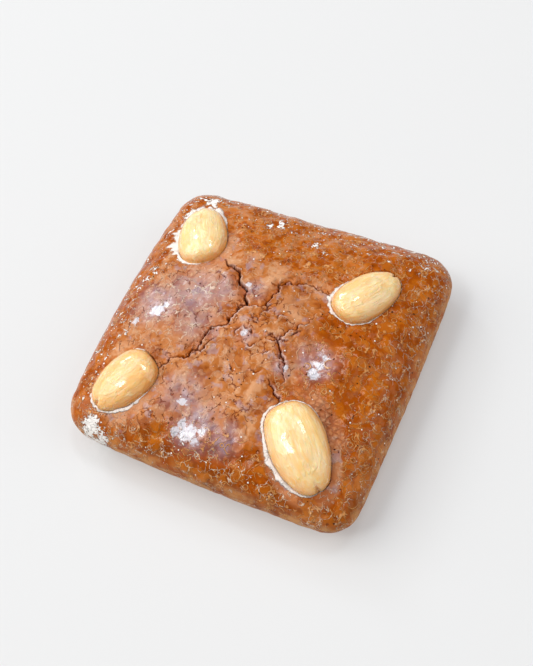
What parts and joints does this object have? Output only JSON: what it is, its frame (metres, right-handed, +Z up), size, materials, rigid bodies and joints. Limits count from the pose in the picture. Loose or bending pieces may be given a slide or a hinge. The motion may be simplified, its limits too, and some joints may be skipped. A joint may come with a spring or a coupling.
{
  "type": "lebkuchen biscuit",
  "caption": "Square glazed lebkuchen, a soft honey gingerbread with a domed, cracked crown and blanched almonds pressed in near its corners, for eating.",
  "frame": {"origin": "middle of the biscuit's outline, on the plane that its flat base rests on", "axes": "+Z up out of the crown; X and Y along the sides of the square, with the long almond of the front corner at +X -Y"},
  "size_m": [0.0819, 0.0814, 0.0234],
  "materials": {
    "crust": null,
    "almond": null
  },
  "bodies": {
    "root": {"biscuit": "crust", "almond_right": "almond", "almond_back": "almond", "almond_left": "almond", "almond_front": "almond"}
  },
  "joints": []
}
